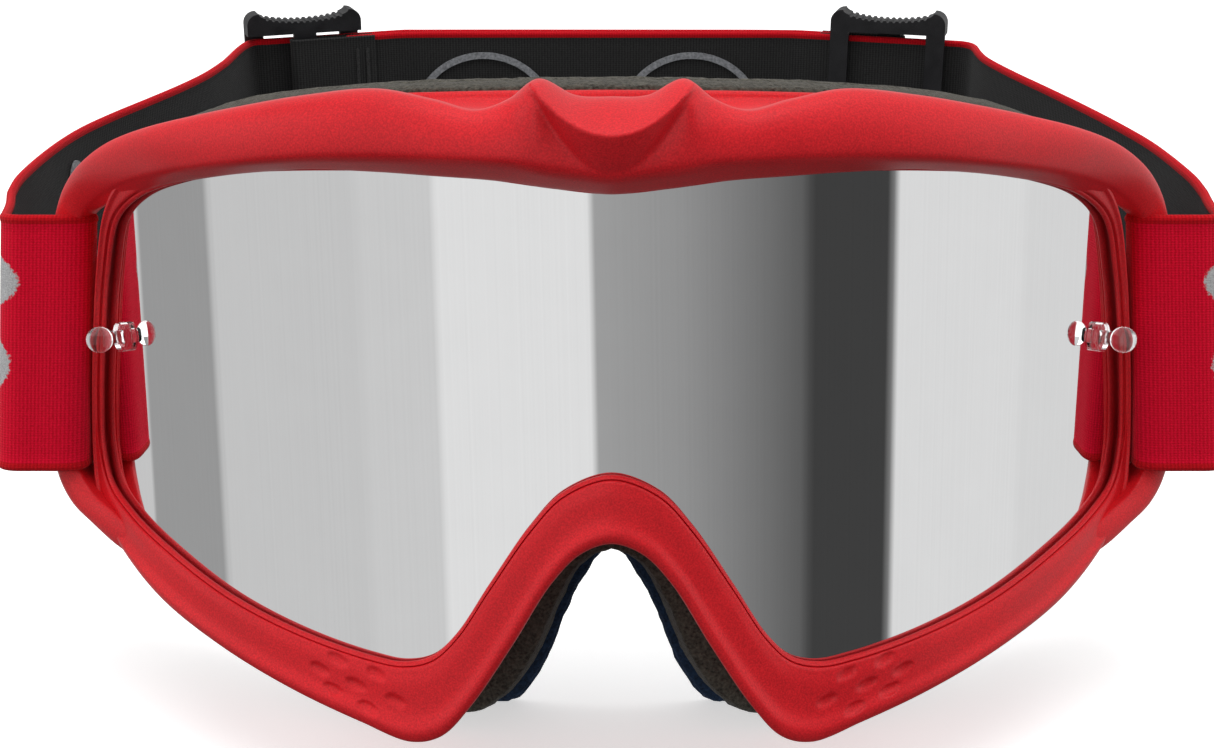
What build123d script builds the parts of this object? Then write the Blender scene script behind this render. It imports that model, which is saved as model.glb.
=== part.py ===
"""Off-road riding goggles: frame, mirror lens, face foam, vents and an adjustable elastic strap.

Frame of the part: +X to the viewer's right, +Y towards the wearer's face, +Z up, millimetres.
The origin is the centre of the face seal's rear surface.
"""
from build123d import *
from math import asin, cos, radians, sin
import os

os.makedirs("parts", exist_ok=True)

# Lens: a cylinder bent about a vertical axis behind the frame.
LENS_AXIS_Y = 56.0
LENS_RADIUS = 100.0
LENS_THICKNESS = 1.0
LENS_BITE = 1.2
GROOVE_PLAY = 0.2

# Frame shells, as radii about the lens axis.
RIM_FRONT_RADIUS = 103.5
RIM_BACK_RADIUS = 96.2
BROW_FRONT_RADIUS = 108.0
WALL_THICKNESS = 2.0
REACH_Z = 75.0
CUT_FRONT_Y = -90.0
CUT_BACK_Y = 60.0
SHELL_BACK_Y = 50.0
CORE_RADIUS = 20.0

# Face side: flange and foam layers follow one curve and lie one behind another.
FACE_RADIUS = 110.0
FLANGE_THICKNESS = 2.0
FOAM_BASE_THICKNESS = 9.0
FOAM_MID_THICKNESS = 5.0
FLEECE_THICKNESS = 2.5

# Outriggers: the bars at each side that carry the strap loops.
OUTRIGGER_FRONT_Y = 3.5
OUTRIGGER_BACK_Y = 9.0
OUTRIGGER_START_X = 82.5
SLOT_HEIGHT = 48.0
SLOT_WIDTH = 3.0
SLOT_X = 90.1
SLOT_DEPTH = 40.0

# Strap: webbing that leaves the loops and climbs towards the back of the head.
STRAP_WIDTH = 44.0
STRAP_THICKNESS = 1.4
STRAP_CLIMB = 8.5
HINGE_Y = 16.0
LAYER_PITCH = 2.8
REAR_BEND_RADIUS = 15.0
LEFT_CORNER = (13.0, 7.0, 66.0)
RIGHT_CORNER = (16.5, 5.0, 70.0)
SIDE_LEAN = 0.1
LOOP_FOLD_RADIUS = 1.6
LOOP_TAIL_X = 101.3

# Slider buckles: rails joined by two edge bars on one side of the webbing and a centre bar on the other.
BUCKLE_LENGTH = 28.0
BUCKLE_HEIGHT = 57.0
BUCKLE_WAIST = 2.2
BUCKLE_CORNER = 2.8
BUCKLE_HORN = 3.0
GRIP_NOTCH_RADIUS = 0.42
GRIP_NOTCH_PITCH = 1.5
GRIP_NOTCHES_EACH_SIDE = 6
BAR_THICKNESS = 1.4
EDGE_BAR_WIDTH = 4.5
CENTRE_BAR_WIDTH = 5.5
BUCKLE_WINDOW = 46.4
EDGE_BAR_GAP = 1.1
CENTRE_BAR_GAP = 1.9
TAB_THICKNESS = 0.6
TAB_LENGTH = 17.0
TAB_PLAY = 0.2
TAB_FOLD_RADIUS = 1.0
LAYER_END = 10.3
BUCKLE_TO_BEND = 26.0
LEFT_TURN = 20.0
RIGHT_TURN = 16.0
LEFT_BUCKLE = (-76.0, 153.3)
RIGHT_BUCKLE = (68.0, 152.2)

# Vents and their filter foams.
VENT_LENGTH = 11.0
VENT_DEPTH = 7.0
VENT_HEIGHT = 9.0
VENT_PAD_SETBACK = 0.5
VENT_FRONT_Y = -34.0
VENT_BACK_Y = -6.0
VENT_PLACES = [(16, -28, 34.5), (31, -24.5, 34.5), (46, -18.5, 34.5), (50, -16, -38.5), (64, -7, -34.2)]

# Stitching and silicone grip lines.
THREAD_WIDTH = 0.8
STITCH_LENGTH = 38.0
STITCH_RISE = 0.3
TAB_ROWS = (12.5, 15.0)
LOOP_ROWS = (23.5, 25.5)
REAR_RINGS = (-32, 20)
REAR_RING_WIDTH = 36.0
SIDE_RING_WIDTH = 12.0
RING_HEIGHT = 34.0
GRIP_LINE = 1.6
GRIP_RISE = 0.4
GRIP_SEAT = 158.4

# Tear-off posts on the lens.
POST_X = 79.8
POST_Z = 2.6
POST_BALL_RADIUS = 2.15
POST_NECK_RADIUS = 1.2
POST_COLLAR_RADIUS = 2.4
POST_REACH = 4.5
POST_COLLAR_THICKNESS = 1.2
POST_STEM = 3.0
POST_PLAY = 0.05
RETAINER_THICKNESS = 1.5
RETAINER_GAP = 0.1

# Half outlines seen from the front, (x, z) from the top centre round the left side to the bottom centre.
APERTURE_HALF = [
    (0, 31.0), (-17, 32.8), (-35, 33.6), (-54, 32.3), (-66, 29.8), (-74.5, 26.4), (-79.6, 21.8),
    (-82.6, 12.5), (-84.8, 1.0), (-86.3, -10), (-86.6, -18), (-84.9, -23.6), (-80, -26.8), (-71, -30.6),
    (-60, -34.8), (-48, -38), (-37, -40), (-31.5, -40.4), (-27, -39), (-23.2, -35.2), (-18, -26.9),
    (-12, -17.8), (-7, -12.4), (0, -9.8),
]
FRAME_HALF = [
    (0, 44.6), (-5.4, 44.9), (-10.9, 47.2), (-15, 44.4), (-19.2, 42.9), (-25, 44.5), (-33, 45.4),
    (-46, 43.8), (-61, 40.7), (-76, 36.3), (-85, 31.6), (-91, 26.8), (-93.6, 20), (-94.7, 8),
    (-95.7, -8), (-96.2, -20), (-94.6, -26.4), (-89, -30.6), (-77, -37.6), (-60, -43.9), (-45, -48.2),
    (-35, -51.2), (-30.3, -52.4), (-25.8, -51), (-21, -45.8), (-14, -34.8), (-7.5, -24.7), (0, -19.8),
]
BROW_UNDERSIDE_HALF = [
    (0, 34.0), (-17, 36.2), (-43, 35.8), (-59, 33.7), (-72, 30.6), (-84, 27.0), (-100, 24.0),
]
BROW_TOP_CORNER = (100.0, 60.0)
TOP_PAD = [(8, 34.6), (35, 35.8), (54, 34.6), (54, 37.2), (35, 38.4), (8, 37.2)]
BOTTOM_PAD = [(44, -42.0), (60, -37.2), (70, -33.3), (70, -36.0), (60, -39.9), (44, -44.8)]
FLANGE_HALF = [
    (0, 43.6), (-28, 43.0), (-45, 41.8), (-59, 39.6), (-69, 37.0), (-79, 32), (-85, 24), (-87.5, 12),
    (-88, 0), (-87.5, -12), (-85.5, -24), (-79, -35), (-68, -43.5), (-54, -50), (-40, -55.5),
    (-31, -58), (-25, -56.8), (-20, -52), (-15.5, -45), (-11, -37), (-6, -30.5), (0, -27.5),
]
FOAM_HALF = [
    (0, 44.4), (-28, 43.8), (-45, 42.4), (-59, 40.2), (-69, 37.6), (-79, 32.5), (-85.5, 24), (-88, 12),
    (-88.5, 0), (-88, -12), (-86, -24.5), (-79.5, -36), (-68, -45), (-54, -52), (-40, -58),
    (-28, -62), (-22, -62), (-16.8, -58), (-12.5, -49.7), (-9, -41), (-5, -34), (0, -31),
]
EYE_PORT_HALF = [
    (0, 29.5), (-28, 31.5), (-52, 30), (-66, 26), (-74, 18.5), (-77.5, 8), (-78, -4), (-77, -15),
    (-73, -24), (-62, -31), (-48, -35.5), (-37, -37.5), (-31.5, -37.6), (-27.5, -35.5), (-22, -27.5),
    (-15.5, -17.6), (-9, -10.5), (0, -7.5),
]
# Webbing routes seen square to the strap, (x, distance back from the tilt axis), front to back.
LEFT_SIDE_ROUTE = [
    (-105.0, -3), (-106.0, 8), (-107.2, 22), (-107.2, 44), (-105.6, 58), (-102.4, 71), (-98.4, 84),
    (-94.5, 97), (-91.5, 110), (-89.9, 123),
]
RIGHT_SIDE_ROUTE = [
    (105.0, -3), (105.6, 8), (105.5, 24), (104.6, 45), (102.4, 60), (98.8, 78), (94.8, 95), (90.4, 113),
    (87.2, 128),
]
# Right loop seen from above, (x, y): outside tail, round the outrigger, inside tail.
LOOP_ROUTE = [
    (102.9, 27.5), (102.9, 1.7), (90.0, 1.7), (90.0, 11.6), (94.5, 13.5), (LOOP_TAIL_X, 20.0),
    (LOOP_TAIL_X, 27.5),
]


def whole(half):
    """Close a left-half outline with its mirror image."""
    return half + [(-x, z) for x, z in reversed(half[1:-1])]


def grown(points, amount):
    """Move every point of a closed outline outwards by amount."""
    moved = []
    for before, here, after in zip(points[-1:] + points[:-1], points, points[1:] + points[:1]):
        along = (Vector(*after) - Vector(*before)).normalized()
        moved.append((here[0] + amount * along.Y, here[1] - amount * along.X))
    return moved


def prism(points, front_y=CUT_FRONT_Y, back_y=CUT_BACK_Y):
    """Solid with a closed front outline of short straight facets, between two depths."""
    with BuildPart() as solid:
        with BuildSketch(Plane.XZ.offset(-back_y)):
            with BuildLine():
                Polyline(*points, close=True)
            make_face()
        extrude(amount=back_y - front_y)
    return solid.part


def shell(outer, inner, back_y=SHELL_BACK_Y):
    """Front part of an upright tube about the lens axis, cut off behind back_y."""
    with BuildPart() as solid:
        with BuildSketch(Plane.XY.offset(-REACH_Z)):
            with Locations((0, LENS_AXIS_Y)):
                Circle(outer)
                Circle(inner, mode=Mode.SUBTRACT)
            with Locations((0, back_y + outer)):
                Rectangle(3 * outer, 2 * outer, mode=Mode.SUBTRACT)
        extrude(amount=2 * REACH_Z)
    return solid.part


def face_layer(front_offset, thickness):
    """Slab between two copies of the face curve; offsets are counted back from the flange's front."""
    front_axis_y = FACE_FRONT_Y + front_offset + FACE_RADIUS
    with BuildPart() as solid:
        with BuildSketch(Plane.XY.offset(-REACH_Z)):
            with Locations((0, front_axis_y)):
                Circle(FACE_RADIUS)
            with Locations((0, front_axis_y + thickness)):
                Circle(FACE_RADIUS, mode=Mode.SUBTRACT)
            with Locations((0, SHELL_BACK_Y + FACE_RADIUS)):
                Rectangle(3 * FACE_RADIUS, 2 * FACE_RADIUS, mode=Mode.SUBTRACT)
        extrude(amount=2 * REACH_Z)
    return solid.part


def ahead_of_face(offset):
    """Everything in front of a copy of the face curve."""
    return face_layer(CUT_FRONT_Y, offset - CUT_FRONT_Y)


def face_ring(outline, front_offset, thickness):
    """One layer of the face side: an outline with the eye port open, on the face curve."""
    with BuildPart() as ring:
        add(prism(outline))
        add(face_layer(front_offset, thickness), mode=Mode.INTERSECT)
        add(prism(whole(EYE_PORT_HALF)), mode=Mode.SUBTRACT)
    return ring.part


FACE_STACK = FLANGE_THICKNESS + FOAM_BASE_THICKNESS + FOAM_MID_THICKNESS + FLEECE_THICKNESS
FACE_FRONT_Y = -FACE_STACK
APERTURE = whole(APERTURE_HALF)
LENS_OUTLINE = grown(APERTURE, LENS_BITE)
FRAME_OUTLINE = whole(FRAME_HALF)
WALL_OUTLINE = grown(APERTURE, WALL_THICKNESS)


def save(piece, name):
    """Label one finished piece and write its STEP file."""
    piece.part.label = name
    export_step(piece.part, f"parts/{name}.step")


def mirrored(source):
    """The other side's copy of a finished piece."""
    with BuildPart() as twin:
        add(source.part)
        mirror(about=Plane.YZ, mode=Mode.REPLACE)
    return twin


# ---- frame ----
def brow_block():
    """Front block of the brow: the frame outline above the brow's lower edge."""
    corner_x, corner_z = BROW_TOP_CORNER
    underside = BROW_UNDERSIDE_HALF[::-1] + [(-x, z) for x, z in BROW_UNDERSIDE_HALF[1:]]
    with BuildPart() as block:
        add(prism(FRAME_OUTLINE))
        add(prism(underside + [(corner_x, corner_z), (-corner_x, corner_z)]), mode=Mode.INTERSECT)
        add(shell(BROW_FRONT_RADIUS, RIM_BACK_RADIUS, OUTRIGGER_BACK_Y), mode=Mode.INTERSECT)
    return block.part


def outriggers():
    """Side bars: the ends of the frame outline, flat in depth."""
    with BuildPart() as bars:
        add(prism(FRAME_OUTLINE, OUTRIGGER_FRONT_Y, OUTRIGGER_BACK_Y))
        Box(2 * OUTRIGGER_START_X, REACH_Z, 2 * REACH_Z, mode=Mode.SUBTRACT)
    return bars.part


def walls():
    """Upright wall round the aperture, from the rim back to the flange."""
    with BuildPart() as tube:
        add(prism(WALL_OUTLINE))
        add(shell(LENS_RADIUS, CORE_RADIUS), mode=Mode.INTERSECT)
        add(ahead_of_face(FLANGE_THICKNESS / 2), mode=Mode.INTERSECT)
    return tube.part


def lens_groove():
    """Room for the lens edge, a little larger than the lens all round."""
    groove_inner = LENS_RADIUS - LENS_THICKNESS - GROOVE_PLAY
    with BuildPart() as groove:
        add(prism(grown(APERTURE, LENS_BITE + GROOVE_PLAY)))
        add(shell(LENS_RADIUS + GROOVE_PLAY, groove_inner), mode=Mode.INTERSECT)
    return groove.part


with BuildPart() as frame:
    add(prism(FRAME_OUTLINE))
    add(shell(RIM_FRONT_RADIUS, RIM_BACK_RADIUS, OUTRIGGER_BACK_Y), mode=Mode.INTERSECT)
    add(brow_block())
    add(outriggers())
    add(walls())
    # Everything in front of the eye port is open.
    add(prism(APERTURE), mode=Mode.SUBTRACT)
    add(face_ring(whole(FLANGE_HALF), 0, FLANGE_THICKNESS))
    add(lens_groove(), mode=Mode.SUBTRACT)
    # Vents through the top and bottom walls.
    for x, y, z in VENT_PLACES:
        with Locations((x, y, z), (-x, y, z)):
            Box(VENT_LENGTH, VENT_DEPTH, VENT_HEIGHT, mode=Mode.SUBTRACT)
    # Slots for the strap loops.
    with Locations((-SLOT_X, OUTRIGGER_BACK_Y, 0), (SLOT_X, OUTRIGGER_BACK_Y, 0)):
        Box(SLOT_WIDTH, SLOT_DEPTH, SLOT_HEIGHT, mode=Mode.SUBTRACT)

# ---- lens and tear-off posts ----
POST_TURN = asin(POST_X / LENS_RADIUS)
POST_NORMAL = Vector(sin(POST_TURN), -cos(POST_TURN), 0)
POST_FOOT = Vector(POST_X, LENS_AXIS_Y - LENS_RADIUS * cos(POST_TURN), POST_Z)
POST_PLANE = Plane(origin=POST_FOOT, x_dir=(0, 0, 1), z_dir=POST_NORMAL)
LEFT_POST_FOOT = Vector(-POST_FOOT.X, POST_FOOT.Y, POST_Z)
LEFT_POST_NORMAL = Vector(-POST_NORMAL.X, POST_NORMAL.Y, 0)
LEFT_POST_PLANE = Plane(origin=LEFT_POST_FOOT, x_dir=(0, 0, 1), z_dir=LEFT_POST_NORMAL)

with BuildPart() as lens:
    add(prism(LENS_OUTLINE))
    add(shell(LENS_RADIUS, LENS_RADIUS - LENS_THICKNESS), mode=Mode.INTERSECT)
    for foot in (POST_PLANE, LEFT_POST_PLANE):
        with BuildSketch(foot.offset(-POST_STEM)):
            Circle(POST_NECK_RADIUS + POST_PLAY)
        extrude(amount=2 * POST_STEM, mode=Mode.SUBTRACT)

with BuildPart() as tearoff_post_right:
    with BuildSketch(POST_PLANE):
        Circle(POST_COLLAR_RADIUS)
    extrude(amount=POST_COLLAR_THICKNESS)
    with BuildSketch(POST_PLANE.offset(-POST_STEM)):
        Circle(POST_NECK_RADIUS)
    extrude(amount=POST_STEM + POST_REACH)
    with Locations(POST_PLANE.offset(POST_REACH)):
        Sphere(POST_BALL_RADIUS)

with BuildPart() as post_retainer_right:
    with BuildSketch(POST_PLANE.offset(-LENS_THICKNESS - RETAINER_GAP - RETAINER_THICKNESS)):
        RegularPolygon(radius=POST_COLLAR_RADIUS, side_count=6)
        Circle(POST_NECK_RADIUS + POST_PLAY, mode=Mode.SUBTRACT)
    extrude(amount=RETAINER_THICKNESS)

# ---- face foam ----
with BuildPart() as face_foam_base:
    add(face_ring(whole(FOAM_HALF), FLANGE_THICKNESS, FOAM_BASE_THICKNESS))
with BuildPart() as face_foam_mid:
    add(face_ring(whole(FOAM_HALF), FLANGE_THICKNESS + FOAM_BASE_THICKNESS, FOAM_MID_THICKNESS))
with BuildPart() as face_fleece:
    add(face_ring(whole(FOAM_HALF), FACE_STACK - FLEECE_THICKNESS, FLEECE_THICKNESS))


# ---- filter foams over the vents ----
def vent_pad(corners):
    """Thin filter foam lying on the outside of the wall between two depths."""
    with BuildPart() as pad:
        add(prism(corners, VENT_FRONT_Y, VENT_BACK_Y))
        add(shell(RIM_BACK_RADIUS - VENT_PAD_SETBACK, CORE_RADIUS), mode=Mode.INTERSECT)
        add(ahead_of_face(-VENT_PAD_SETBACK), mode=Mode.INTERSECT)
    return pad


vent_foam_top_right = vent_pad(TOP_PAD)
vent_foam_bottom_right = vent_pad(BOTTOM_PAD)


# ---- strap ----
STRAP_PLANE = Plane(
    origin=(0, HINGE_Y, 0), x_dir=(1, 0, 0), z_dir=(0, -sin(radians(STRAP_CLIMB)), cos(radians(STRAP_CLIMB)))
)


def band(make_route, plane):
    """Webbing: a route drawn in a plane, given thickness, then extruded to its width both ways."""
    with BuildPart() as strip:
        with BuildSketch(plane):
            with BuildLine():
                make_route()
            trace(line_width=STRAP_THICKNESS)
        extrude(amount=STRAP_WIDTH / 2, both=True)
    return strip


def heading(degrees):
    """Unit direction in the strap plane."""
    return Vector(cos(radians(degrees)), sin(radians(degrees)))


LEFT_CENTRE = Vector(*LEFT_BUCKLE)
RIGHT_CENTRE = Vector(*RIGHT_BUCKLE)
LEFT_ALONG = heading(LEFT_TURN)
RIGHT_ALONG = heading(-RIGHT_TURN)
LEFT_OUT = heading(LEFT_TURN + 90)
RIGHT_OUT = heading(90 - RIGHT_TURN)
REAR_START = BUCKLE_TO_BEND - 3.0


def outer_layer_route():
    """Left strap: side, left buckle, then the outer layer across the back to the right buckle."""
    distance, radius, turned = LEFT_CORNER
    start = LEFT_CENTRE - LEFT_ALONG * distance
    bend = LEFT_CENTRE + LEFT_ALONG * REAR_START
    corner = JernArc(start, -LEFT_ALONG, radius, turned)
    Spline(*LEFT_SIDE_ROUTE, corner @ 1, tangents=((-SIDE_LEAN, 1), -(corner % 1)))
    Line(start, bend)
    turn = JernArc(bend, LEFT_ALONG, REAR_BEND_RADIUS, -LEFT_TURN)
    last = RIGHT_CENTRE - RIGHT_ALONG * LAYER_END + RIGHT_OUT * LAYER_PITCH
    meet = RIGHT_CENTRE - RIGHT_ALONG * REAR_START + RIGHT_OUT * LAYER_PITCH
    Line(last, meet)
    back = JernArc(meet, -RIGHT_ALONG, REAR_BEND_RADIUS, RIGHT_TURN)
    Line(back @ 1, turn @ 1)


def inner_layer_route():
    """Right strap: side, right buckle, then the inner layer across the back to the left buckle."""
    distance, radius, turned = RIGHT_CORNER
    start = RIGHT_CENTRE + RIGHT_ALONG * distance
    bend = RIGHT_CENTRE - RIGHT_ALONG * REAR_START
    corner = JernArc(start, RIGHT_ALONG, radius, -turned)
    Spline(*RIGHT_SIDE_ROUTE, corner @ 1, tangents=((SIDE_LEAN, 1), -(corner % 1)))
    Line(start, bend)
    turn = JernArc(bend, -RIGHT_ALONG, REAR_BEND_RADIUS, RIGHT_TURN)
    last = LEFT_CENTRE + LEFT_ALONG * LAYER_END - LEFT_OUT * LAYER_PITCH
    meet = LEFT_CENTRE + LEFT_ALONG * REAR_START - LEFT_OUT * LAYER_PITCH
    Line(last, meet)
    back = JernArc(meet, LEFT_ALONG, REAR_BEND_RADIUS - LAYER_PITCH, -LEFT_TURN)
    Line(back @ 1, turn @ 1)


def loop_route():
    """Right loop round the outrigger: forward inside, across the front, back outside."""
    FilletPolyline(*LOOP_ROUTE, radius=LOOP_FOLD_RADIUS)


strap_left = band(outer_layer_route, STRAP_PLANE)
strap_right = band(inner_layer_route, STRAP_PLANE)
strap_loop_right = band(loop_route, Plane.XY)


# ---- buckles ----
def on_strap(point):
    """A strap-plane point in the part's frame."""
    return STRAP_PLANE.from_local_coords(Vector(point.X, point.Y, 0))


def buckle_frame(centre, along, outward):
    """Plane at a buckle: x along the webbing, z across it, away from the head where outward is 1."""
    x_dir = (on_strap(centre + along) - on_strap(centre)).normalized()
    across = STRAP_PLANE.z_dir.cross(x_dir).normalized()
    return Plane(origin=on_strap(centre), x_dir=x_dir, z_dir=across * outward)


def grip_notches():
    """Places of the small thumb notches along both curved ends of a buckle."""
    reach = BUCKLE_LENGTH / 2 - BUCKLE_HORN
    places = []
    for count in range(-GRIP_NOTCHES_EACH_SIDE, GRIP_NOTCHES_EACH_SIDE + 1):
        x = count * GRIP_NOTCH_PITCH
        height = BUCKLE_HEIGHT / 2 - BUCKLE_WAIST * (1 - (x / reach) ** 2) ** 0.5
        places += [(x, height), (x, -height)]
    return places


def buckle(plane):
    """Three-bar slider: edge bars on the plane's z side of the webbing, centre bar on the other."""
    high = EDGE_BAR_GAP + BAR_THICKNESS
    low = -CENTRE_BAR_GAP - BAR_THICKNESS
    edge_bar_x = (BUCKLE_LENGTH - EDGE_BAR_WIDTH) / 2
    with BuildPart() as slider:
        with BuildSketch(plane.offset(low)):
            RectangleRounded(BUCKLE_LENGTH, BUCKLE_HEIGHT, BUCKLE_CORNER)
            with Locations((0, BUCKLE_HEIGHT / 2), (0, -BUCKLE_HEIGHT / 2)):
                Ellipse(BUCKLE_LENGTH / 2 - BUCKLE_HORN, BUCKLE_WAIST, mode=Mode.SUBTRACT)
            with Locations(*grip_notches()):
                Circle(GRIP_NOTCH_RADIUS, mode=Mode.SUBTRACT)
            Rectangle(2 * BUCKLE_LENGTH, BUCKLE_WINDOW, mode=Mode.SUBTRACT)
        extrude(amount=high - low)
        with BuildSketch(plane.offset(EDGE_BAR_GAP)):
            with Locations((edge_bar_x, 0), (-edge_bar_x, 0)):
                Rectangle(EDGE_BAR_WIDTH, BUCKLE_WINDOW + 1)
        extrude(amount=BAR_THICKNESS)
        with BuildSketch(plane.offset(low)):
            Rectangle(CENTRE_BAR_WIDTH, BUCKLE_WINDOW + 1)
        extrude(amount=BAR_THICKNESS)
    return slider


TAB_INNER = -(CENTRE_BAR_GAP + EDGE_BAR_GAP - TAB_PLAY) / 2


def tab(plane, direction):
    """Folded webbing tab round the centre bar, its two tails pointing along direction."""
    inner = TAB_INNER
    outer = inner - LAYER_PITCH
    section_plane = Plane(origin=plane.origin, x_dir=plane.x_dir * direction, z_dir=plane.y_dir)
    turn = -1 if section_plane.y_dir.dot(plane.z_dir) < 0 else 1
    fold = -CENTRE_BAR_WIDTH / 2 - TAB_THICKNESS
    with BuildPart() as folded:
        with BuildSketch(section_plane):
            with BuildLine():
                FilletPolyline(
                    (TAB_LENGTH, turn * inner), (fold, turn * inner), (fold, turn * outer),
                    (TAB_LENGTH, turn * outer), radius=TAB_FOLD_RADIUS,
                )
            trace(line_width=TAB_THICKNESS)
        extrude(amount=STRAP_WIDTH / 2, both=True)
    return folded


LEFT_FRAME = buckle_frame(LEFT_CENTRE, LEFT_ALONG, 1)
RIGHT_FRAME = buckle_frame(RIGHT_CENTRE, RIGHT_ALONG, -1)
buckle_left = buckle(LEFT_FRAME)
buckle_right = buckle(RIGHT_FRAME)
buckle_tab_left = tab(LEFT_FRAME, 1)
buckle_tab_right = tab(RIGHT_FRAME, -1)


# ---- thread and silicone ----
def thread_rows(plane, offsets):
    """Rows of stitching standing a little proud of a webbing face."""
    with BuildPart() as rows:
        with BuildSketch(plane):
            with Locations(*[(offset, 0) for offset in offsets]):
                SlotOverall(STITCH_LENGTH, THREAD_WIDTH, rotation=90)
        extrude(amount=STITCH_RISE)
    return rows


def stitching(plane, direction):
    """Two stitch rows on the face of a buckle tab away from the webbing."""
    face = TAB_INNER - LAYER_PITCH - TAB_THICKNESS / 2
    base = Plane(origin=plane.origin, x_dir=plane.x_dir * direction, z_dir=-plane.z_dir)
    return thread_rows(base.offset(-face), TAB_ROWS)


def grip_rings(plane, centres, width):
    """Printed silicone rings on the head side of the webbing."""
    with BuildPart() as rings:
        with BuildSketch(plane):
            with Locations(*[(centre, 0) for centre in centres]):
                Ellipse(width / 2, RING_HEIGHT / 2)
                Ellipse(width / 2 - GRIP_LINE, RING_HEIGHT / 2 - GRIP_LINE, mode=Mode.SUBTRACT)
        extrude(amount=GRIP_RISE)
    return rings


def side_plane(route, index):
    """Plane on the head side of a side strap, midway along one stretch of its route."""
    ahead = Vector(*route[index + 1])
    behind = Vector(*route[index])
    middle = (ahead + behind) / 2
    x_dir = (on_strap(ahead) - on_strap(behind)).normalized()
    inward = STRAP_PLANE.z_dir.cross(x_dir).normalized()
    if inward.X * middle.X > 0:
        inward = -inward
    return Plane(origin=on_strap(middle) + inward * (STRAP_THICKNESS / 2), x_dir=x_dir, z_dir=inward)


TOWARDS_HEAD = on_strap(Vector(0, -1)) - on_strap(Vector(0, 0))
GRIP_PLANE = Plane(origin=on_strap(Vector(0, GRIP_SEAT)), x_dir=(1, 0, 0), z_dir=TOWARDS_HEAD)
silicone_grip_rear = grip_rings(GRIP_PLANE, REAR_RINGS, REAR_RING_WIDTH)
silicone_grip_left = grip_rings(side_plane(LEFT_SIDE_ROUTE, 3), (0,), SIDE_RING_WIDTH)
silicone_grip_right = grip_rings(side_plane(RIGHT_SIDE_ROUTE, 4), (0,), SIDE_RING_WIDTH)
tab_stitching_left = stitching(LEFT_FRAME, 1)
tab_stitching_right = stitching(RIGHT_FRAME, -1)
LOOP_SEAM = Plane(origin=(LOOP_TAIL_X - STRAP_THICKNESS / 2, 0, 0), x_dir=(0, 1, 0), z_dir=(-1, 0, 0))
loop_stitching_right = thread_rows(LOOP_SEAM, LOOP_ROWS)

PIECES = {
    "frame": frame, "lens": lens,
    "tearoff_post_right": tearoff_post_right, "tearoff_post_left": mirrored(tearoff_post_right),
    "post_retainer_right": post_retainer_right, "post_retainer_left": mirrored(post_retainer_right),
    "face_foam_base": face_foam_base, "face_foam_mid": face_foam_mid, "face_fleece": face_fleece,
    "vent_foam_top_right": vent_foam_top_right, "vent_foam_top_left": mirrored(vent_foam_top_right),
    "vent_foam_bottom_right": vent_foam_bottom_right,
    "vent_foam_bottom_left": mirrored(vent_foam_bottom_right),
    "strap_loop_right": strap_loop_right, "strap_loop_left": mirrored(strap_loop_right),
    "loop_stitching_right": loop_stitching_right, "loop_stitching_left": mirrored(loop_stitching_right),
    "strap_left": strap_left, "strap_right": strap_right,
    "buckle_left": buckle_left, "buckle_right": buckle_right,
    "buckle_tab_left": buckle_tab_left, "buckle_tab_right": buckle_tab_right,
    "tab_stitching_left": tab_stitching_left, "tab_stitching_right": tab_stitching_right,
    "silicone_grip_rear": silicone_grip_rear,
    "silicone_grip_left": silicone_grip_left, "silicone_grip_right": silicone_grip_right,
}
for piece_name, piece in PIECES.items():
    save(piece, piece_name)
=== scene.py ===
"""Looks of the off-road goggles: moulded frame, mirror lens, face foam, knitted strap and slider buckles."""
import math

import bmesh
import bpy
import numpy as np
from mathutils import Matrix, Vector


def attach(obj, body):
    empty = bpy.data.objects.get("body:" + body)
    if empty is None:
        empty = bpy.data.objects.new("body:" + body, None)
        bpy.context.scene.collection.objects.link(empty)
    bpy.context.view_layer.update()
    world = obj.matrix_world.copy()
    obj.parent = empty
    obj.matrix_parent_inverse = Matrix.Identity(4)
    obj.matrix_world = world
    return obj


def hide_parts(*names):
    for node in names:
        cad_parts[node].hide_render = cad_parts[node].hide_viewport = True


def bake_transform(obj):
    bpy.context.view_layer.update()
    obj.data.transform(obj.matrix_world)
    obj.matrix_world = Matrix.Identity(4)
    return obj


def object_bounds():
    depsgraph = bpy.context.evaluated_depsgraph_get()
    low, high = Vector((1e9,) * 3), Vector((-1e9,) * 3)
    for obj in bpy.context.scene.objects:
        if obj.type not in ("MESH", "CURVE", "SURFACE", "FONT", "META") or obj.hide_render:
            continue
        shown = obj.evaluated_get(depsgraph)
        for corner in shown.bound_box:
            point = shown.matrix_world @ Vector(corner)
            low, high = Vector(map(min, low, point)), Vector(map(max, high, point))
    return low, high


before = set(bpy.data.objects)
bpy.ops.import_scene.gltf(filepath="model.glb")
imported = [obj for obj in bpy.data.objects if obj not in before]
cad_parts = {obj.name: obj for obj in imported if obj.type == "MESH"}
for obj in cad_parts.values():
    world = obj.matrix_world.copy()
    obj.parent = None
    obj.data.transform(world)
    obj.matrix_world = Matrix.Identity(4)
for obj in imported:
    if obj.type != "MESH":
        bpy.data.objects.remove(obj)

CAD_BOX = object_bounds()
MM = 0.001

# Sizes shared with the frame, in millimetres, with angles in radians.
LENS_AXIS_Y = 56.0
LENS_RADIUS = 100.0
LENS_THICKNESS = 1.0
FACE_RADIUS = 110.0
FACE_FRONT_Y = -18.5
FLANGE_BACK = 2.0
FOAM_MID_START = 11.0
FLEECE_START = 16.0
FACE_STACK = 18.5
STRAP_HALF = 22.0
STRAP_THICKNESS = 1.4
STRAP_CLIMB = math.radians(8.5)
HINGE_Y = 16.0
LOOP_LEAN = 0.078

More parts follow.
